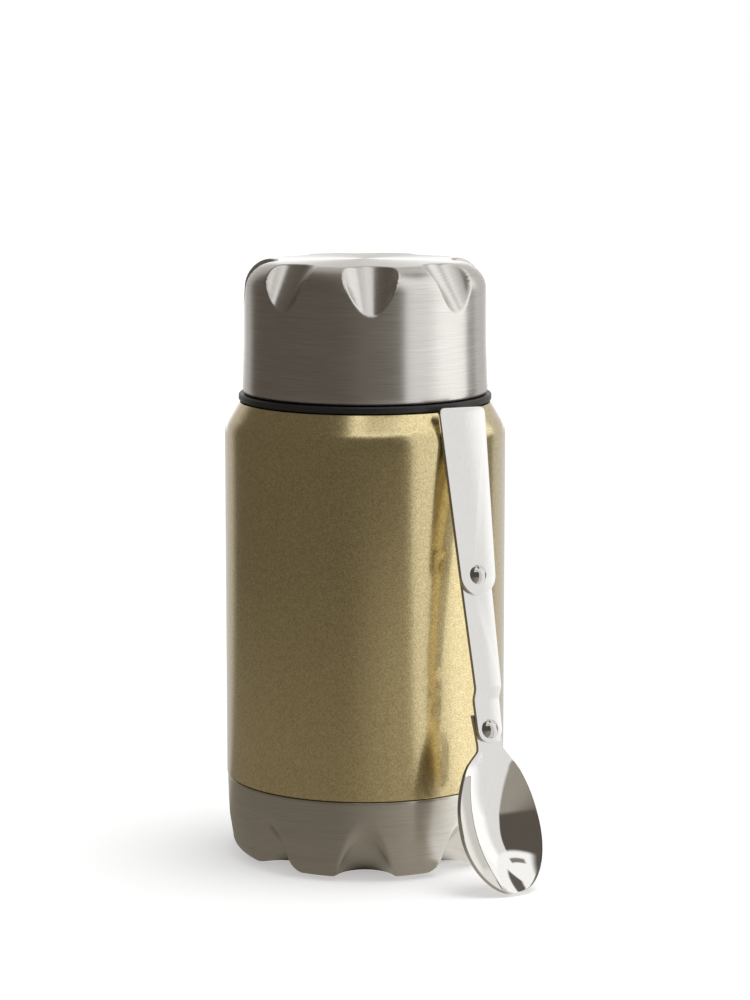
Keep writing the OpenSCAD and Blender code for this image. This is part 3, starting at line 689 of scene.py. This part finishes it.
def makeLink(look):
    piece = cutOutline("spoonLink", look["linkRound"], look["linkWide"] / 2, look["links"] + look["linkTail"],
                       look["linkCorner"])
    low, high = look["joggle"]
    rows = look["joggleRows"]
    makeActive(piece)
    bpy.ops.object.mode_set(mode="EDIT")
    for i in range(rows + 1):  # rows across the step, so that it bends round and not sharp
        at = low - 1 + (high - low + 2) * i / rows
        bpy.ops.mesh.select_all(action="SELECT")
        bpy.ops.mesh.bisect(plane_co=(0, at * mm, 0), plane_no=(0, 1, 0))
    bpy.ops.object.mode_set(mode="OBJECT")
    for point in piece.data.vertices:
        rise = smoothStep(low, high, point.co.y / mm)
        point.co.z = (look["linkLow"] + (look["linkHigh"] - look["linkLow"]) * rise) * mm
    thicken(piece, look["sheet"])
    breakEdges(piece, look["edge"])
    cutHoles(piece, look["linkHole"], [(0, 0), (0, look["links"])])
    settle(piece, spoonPlace)
    smooth(piece, 30)
    return piece


link = makeLink(spoonSet)
dress(link, spoonSteel, "spoon_link", "spoon_link")
print("spoon link:", len(link.data.polygons), "faces")

bowlSet = {
    "half": 12.8, "middle": 27.89, "back": 22.47, "front": 18.4, "depth": 6.2, "dip": 2.97, "tipRise": 1.2,
    "turn": 4.8, "tang": 3.95, "tail": 4.6, "sheet": 1.2, "neck": (2.9, 9.5), "round": 3.2, "edge": 0.3,
    "hole": 1.55, "soft": 0.35, "softRun": (14, 8), "tangStep": 0.95, "neckStart": 2.6, "neckStep": 0.55,
    "lip": 0.03, "lipRun": (8, 15), "lipDeep": 0.3, "lipFrom": 0.985,
    "rings": [0.975, 0.95, 0.9, 0.85, 0.8, 0.75, 0.7, 0.64, 0.58, 0.52, 0.46, 0.4, 0.34, 0.28, 0.22, 0.16,
              0.1, 0.05],
}


def bowlReach(look, s):
    return look["back"] if s < look["middle"] else look["front"]


def bowlHalfWidth(look, s):
    # half the width at a distance s below the rivet: the tang runs into the bowl in a soft curve
    t = (s - look["middle"]) / bowlReach(look, s)
    oval = look["half"] * math.sqrt(max(0, 1 - t * t))
    if s > look["middle"]:
        return oval
    return -softLower(-oval, -look["tang"], look["round"])


def bowlOutline(look):
    # the tang's end, down one side to the tip, and up the other side again
    middle = look["middle"]
    side = [-look["tail"] + i * look["tangStep"] for i in range(8)]
    side += [look["neckStart"] + i * look["neckStep"] for i in range(1, 26)]
    wide = [middle + look["back"] * math.sin(math.radians(a)) for a in range(-29, 1, 3)]
    side += [s for s in wide if s > side[-1] + 0.3]
    tip = [middle + look["front"] * math.sin(math.radians(a)) for a in range(3, 90, 3)]
    right = [(bowlHalfWidth(look, s), s) for s in side + tip]
    end = [(look["tang"] * (i / 4), -look["tail"]) for i in range(-3, 4)]
    return end + right + [(0, middle + look["front"])] + [(-x, s) for x, s in reversed(right)]


def bowlRim(look, s):
    x = s / (look["middle"] + look["front"])
    return -4 * look["dip"] * x * (1 - x) + look["tipRise"] * x * x


def bowlHeight(look, x, s):
    # how high the upper face lies at x to the side and s below the rivet
    middle = look["middle"]
    reach = bowlReach(look, s)
    u = x / look["half"]
    v = (s - middle) / reach
    k2 = u * u + v * v
    k = math.sqrt(k2)
    rimAt = middle
    if k > 1:
        rimAt = s
    elif k > 1e-6:
        rimAt += v / k * reach
    inner = min(k2, 1)
    height = (1 - inner) * bowlRim(look, middle) + inner * bowlRim(look, rimAt)
    softTo, softFrom = look["softRun"]
    hollow = max(0, 1 - k2)
    if s < softTo:
        hollow = -softLower(-(1 - k2), 0, look["soft"] * smoothStep(softTo, softFrom, s) + 1e-6)
    start, end = look["neck"]
    return (height - look["depth"] * hollow) * smoothStep(start, end, s)


def makeBowl(look):
    # rings inside the outline are pressed down to the bowl's shape
    middle = look["middle"]
    outline = bowlOutline(look)
    deselectAll()
    bpy.ops.mesh.primitive_circle_add(vertices=len(outline), radius=1 * mm, fill_type="NOTHING",
                                      location=(0, 0, 0))
    piece = bpy.context.object
    piece.name = "spoonBowl"
    for point, (x, s) in zip(piece.data.vertices, outline):
        point.co = Vector((x, -s, 0)) * mm
    editAll()
    last = 1.0
    for ring in look["rings"]:
        bpy.ops.mesh.extrude_region_move(TRANSFORM_OT_translate={"value": (0, 0, 0)})
        scale = ring / last
        bpy.ops.transform.resize(value=(scale, scale, 1), center_override=(0, -middle * mm, 0))
        last = ring
    bpy.ops.mesh.extrude_region_move(TRANSFORM_OT_translate={"value": (0, 0, 0)})
    bpy.ops.mesh.merge(type="CENTER")
    bpy.ops.object.mode_set(mode="OBJECT")
    for point in piece.data.vertices:
        point.co.z = bowlHeight(look, point.co.x / mm, -point.co.y / mm) * mm
    thicken(piece, -look["sheet"])
    for point in piece.data.vertices:  # the rim's upper edge stands a little inside the lower one
        x = point.co.x / mm
        s = -point.co.y / mm
        outward = math.hypot(x / look["half"], (s - middle) / bowlReach(look, s))
        if outward > look["lipFrom"] and point.co.z / mm > bowlHeight(look, x, s) - look["lipDeep"]:
            scale = 1 - look["lip"] * smoothStep(*look["lipRun"], s)
            point.co = Vector((x * scale, -(middle + (s - middle) * scale), point.co.z / mm)) * mm
    breakEdges(piece, look["edge"])
    cutHoles(piece, look["hole"], [(0, 0)])
    settle(piece, spoonPlace @ Matrix.Rotation(math.radians(look["turn"]), 4, "Z"))
    for point in piece.data.vertices:  # no point of the tip is below the table
        point.co.z = max(point.co.z, 0)
    smooth(piece, 30)
    return piece


bowl = makeBowl(bowlSet)
dress(bowl, spoonSteel, "spoon_bowl", "spoon_bowl")
print("spoon bowl:", len(bowl.data.polygons), "faces")

rivetSet = {
    "shank": 1.5, "head": 2.65, "headHigh": 1.5, "headEdge": 0.08, "tailHigh": 0.7, "grip": 2.6, "steps": 96,
    "tailEdge": ((0.75, 0), (0.4, 0.12), (0.3, 0.35)),  # how far inside the head's edge, and how high
    "lowerAt": -1.25, "upperAt": 1.95,
}


def makeRivet(name, look, at, along):
    # turned from the hidden tail up the shank to the domed head
    head = look["head"]
    high = look["headHigh"]
    grip = look["grip"]
    tail = look["tailHigh"]
    edge = look["headEdge"]
    dome = (head ** 2 + high ** 2) / (2 * high)
    half = math.degrees(math.asin(head / dome))
    points = [(0, -tail)]
    points += [(head - inward, -tail + up) for inward, up in look["tailEdge"]]
    points += [(points[-1][0], 0), (look["shank"], 0)]
    points += [(look["shank"], grip), (head - edge, grip), (head, grip + edge)]
    points += arcPoints((0, grip + high - dome), dome, 90 - half, 90, 14)[1:]
    piece = turnPiece(name, points, look["steps"])
    settle(piece, spoonPlace @ Matrix.Translation(Vector((0, along, at)) * mm))
    return piece


rivets = makeRivet("spoonRivets", rivetSet, rivetSet["lowerAt"], 0)
upper = makeRivet("upperRivet", rivetSet, rivetSet["upperAt"], spoonSet["links"])
makeActive(rivets)
upper.select_set(True)
bpy.ops.object.join()
smooth(rivets, 40)
dress(rivets, rivetSteel, "spoon_link", "spoon_rivets")
print("rivets:", len(rivets.data.polygons), "faces")

studioSet = {
    "roomLight": 0.5,      # the world's even light on all that is no mirror
    "floorTone": 0.8,
    "floorWide": 14,       # metres
    "floorLift": 0.37,     # the floor's own glow: makes it a little over white where no shadow falls
    # angles in degrees; wide is how wide the lamp looks from the jar
    "softbox": {"azimuth": 97, "height": 78, "wide": 34, "strength": 1.4},
    # painted reflections: the surround's dark tone, a lighter floor near the jar, and a painted contact shadow
    # under its foot
    "room": {"radius": 600, "high": 500, "strength": 1.5, "tone": "#4f4a44", "near": "#67625a",
             "nearFar": (180, 520), "paintedShadowReach": (27, 32), "paintedShadowTone": 0.1, "level": 30, "behindLeft": -100},
    # painted reflections of walls, softboxes and lights: areas of the surround that mirrors see; azimuth 0 in
    # front,
    # 90 to the right, 180 behind; heights are angles seen from the level of the spoon's bowl, so the floor's
    # rings have angles below 0
    "cards": [
        # name, azimuths and how softly they start and end, heights likewise (degrees), tone
        ("low grey wall in front", (4, 50), (48, 2), (-90, -3), (1, 5), "#89847c"),
        ("softbox, its left part", (37, 109), (3, 3), (-90, 60), (1, 20), "#cdcdcd"),
        ("softbox, its bright part", (68, 109), (18, 3), (-90, 58), (1, 24), "#efefef"),
        ("gap behind the softbox", (109, 127), (2, 6), (-90, 10), (1, 6), "#605c58"),
        ("right side wall", (125, 215), (6, 10), (-90, 80), (1, 50), "#acaaa7"),
        ("upper softbox edge", (100, 128), (4, 6), (12, 50), (6, 16), "#e7e7e7"),
        ("back wall, right", (150, 212), (24, 10), (-90, 40), (1, 22), "#b1b0af"),
        ("bright backdrop", (160, 206), (14, 24), (4, 26), (4, 8), "#ffffff"),
        ("left side wall", (206, 227), (30, 16), (-90, 46), (1, 20), "#a29f9c"),
        ("ceiling light", (-16, 150), (14, 20), (44, 91), (6, 1), "#e4e4e4"),
        ("dark beam", (0, 42), (8, 6), (54, 60), (3, 2), "#76716e"),
        ("dark ceiling corner", (78, 136), (8, 8), (60, 76), (4, 4), "#57534f"),
    ],
}


def lightRays(tree):
    # 1 for what the camera, a mirror or glass sees
    path = addNode(tree, "ShaderNodeLightPath").outputs
    two = addNode(tree, "ShaderNodeMath", {0: path["Is Camera Ray"], 1: path["Is Glossy Ray"]},
                  operation="ADD", use_clamp=True).outputs[0]
    return addNode(tree, "ShaderNodeMath", {0: two, 1: path["Is Transmission Ray"]},
                   operation="ADD", use_clamp=True).outputs[0]


def makeWorld(look):
    # white behind everything, and an even light from all round
    world = bpy.data.worlds.new("studio")
    bpy.context.scene.world = world
    world.use_nodes = True
    tree = world.node_tree
    tree.nodes.clear()
    strength = addNode(tree, "ShaderNodeMapRange", {
        "Value": lightRays(tree), "To Min": look["roomLight"], "To Max": 1.0}).outputs[0]
    light = addNode(tree, "ShaderNodeBackground", {"Color": (1, 1, 1, 1), "Strength": strength})
    addNode(tree, "ShaderNodeOutputWorld", {"Surface": light.outputs[0]})


def makeFloor(look):
    deselectAll()
    bpy.ops.mesh.primitive_plane_add(size=look["floorWide"], location=(0, 0, 0))
    floor = bpy.context.object
    floor.name = "floor"
    material, tree = emptyMaterial("plainFloor")
    tone = look["floorTone"]
    white = addNode(tree, "ShaderNodeBsdfDiffuse", {"Color": (tone, tone, tone, 1)}).outputs[0]
    lift = addNode(tree, "ShaderNodeMath", {0: lightRays(tree), 1: look["floorLift"]},
                   operation="MULTIPLY").outputs[0]
    glow = addNode(tree, "ShaderNodeEmission", {"Color": (1, 1, 1, 1), "Strength": lift}).outputs[0]
    finishMaterial(tree, addNode(tree, "ShaderNodeAddShader", {0: white, 1: glow}).outputs[0])
    floor.data.materials.append(material)


def makeSoftbox(box):
    # a lamp high at the right that throws the jar's soft shadow; neither camera nor mirrors see it
    data = bpy.data.lights.new("softbox", "SUN")
    data.angle = math.radians(box["wide"])
    data.energy = box["strength"]
    lamp = bpy.data.objects.new("softbox", data)
    lamp.rotation_euler = (math.radians(90 - box["height"]), 0, math.radians(box["azimuth"]))
    lamp.visible_camera = False
    lamp.visible_glossy = False
    bpy.context.scene.collection.objects.link(lamp)


def window(tree, value, span, soft):
    # 1 inside the span, falling to 0 over the soft edges; degrees
    sides = []
    for edge, run, before, after in ((span[0], soft[0], 0.0, 1.0), (span[1], soft[1], 1.0, 0.0)):
        sides.append(addNode(tree, "ShaderNodeMapRange", {
            "Value": value, "From Min": math.radians(edge - run / 2), "From Max": math.radians(edge + run / 2),
            "To Min": before, "To Max": after}, interpolation_type="SMOOTHSTEP").outputs[0])
    return addNode(tree, "ShaderNodeMath", {0: sides[0], 1: sides[1]}, operation="MULTIPLY").outputs[0]


def roomDirections(tree, room):
    # azimuth and height angle of each place on the surround, and its distance from the axis
    parts = addNode(tree, "ShaderNodeSeparateXYZ", {"Vector": objectPlace(tree)}).outputs
    front = addNode(tree, "ShaderNodeMath", {0: parts["Y"], 1: -1.0}, operation="MULTIPLY").outputs[0]
    angle = addNode(tree, "ShaderNodeMath", {0: parts["X"], 1: front}, operation="ARCTAN2").outputs[0]
    past = addNode(tree, "ShaderNodeMath", {0: angle, 1: math.radians(room["behindLeft"])},
                   operation="LESS_THAN").outputs[0]
    azimuth = addNode(tree, "ShaderNodeMath", {0: past, 1: 2 * math.pi, 2: angle},
                      operation="MULTIPLY_ADD").outputs[0]
    flat = addNode(tree, "ShaderNodeCombineXYZ", {"X": parts["X"], "Y": parts["Y"]}).outputs[0]
    reach = addNode(tree, "ShaderNodeVectorMath", {0: flat}, operation="LENGTH").outputs["Value"]
    height = addNode(tree, "ShaderNodeMath", {0: parts["Z"], 1: room["level"] * mm},
                     operation="SUBTRACT").outputs[0]
    lift = addNode(tree, "ShaderNodeMath", {0: height, 1: reach}, operation="ARCTAN2").outputs[0]
    return azimuth, lift, reach


def makePaintedReflections(look):
    # painted reflections: a closed surround that glows for mirror rays only; it hides the white floor and
    # world from them, and is painted dark in front and to the left, bright to the right and behind, with
    # painted shadow under the jar
    room = look["room"]
    radius = room["radius"]
    high = room["high"]
    bottom = 0.2
    section = line((0, bottom), (radius, bottom), 4) + line((radius, bottom), (radius, high), 4)[1:]
    section += arcPoints((radius - high, high), high, 0, 90, 12)[1:] + [(0, 2 * high)]
    screen = turnPiece("paintedReflectionRoom", section, 180)
    material, tree = emptyMaterial("paintedReflectionRoom")
    azimuth, lift, reach = roomDirections(tree, room)
    near, far = [edge * mm for edge in room["nearFar"]]
    out = addNode(tree, "ShaderNodeMapRange", {"Value": reach, "From Min": near, "From Max": far}).outputs[0]
    tone = addNode(tree, "ShaderNodeMix", {
        0: out, 6: linearColour(room["near"]), 7: linearColour(room["tone"])}, data_type="RGBA").outputs[2]
    # each card paints a reflection of a wall, softbox or light onto the surround
    for name, azimuths, sides, heights, ends, colour in look["cards"]:
        across = window(tree, azimuth, azimuths, sides)
        upright = window(tree, lift, heights, ends)
        mask = addNode(tree, "ShaderNodeMath", {0: across, 1: upright},
                       operation="MULTIPLY", label=name).outputs[0]
        tone = addNode(tree, "ShaderNodeMix", {0: mask, 6: tone, 7: linearColour(colour)},
                       data_type="RGBA").outputs[2]
    # painted contact shadow: the surround's floor under and just beside the jar's foot is darkened, so that
    # mirrors show shade there
    paintedShadowEdges = [edge * mm for edge in room["paintedShadowReach"]]
    clear = addNode(tree, "ShaderNodeMapRange", {
        "Value": reach, "From Min": paintedShadowEdges[0], "From Max": paintedShadowEdges[1], "To Min": room["paintedShadowTone"]},
        interpolation_type="SMOOTHSTEP").outputs[0]
    strength = addNode(tree, "ShaderNodeMath", {0: clear, 1: room["strength"]},
                       operation="MULTIPLY").outputs[0]
    glow = addNode(tree, "ShaderNodeEmission", {"Color": tone, "Strength": strength})
    finishMaterial(tree, glow.outputs[0])
    screen.data.materials.clear()
    screen.data.materials.append(material)
    screen.visible_camera = False
    screen.visible_diffuse = False
    screen.visible_shadow = False
    screen.visible_transmission = False


makeWorld(studioSet)
makeFloor(studioSet)
makeSoftbox(studioSet["softbox"])
makePaintedReflections(studioSet)
print("studio ready")
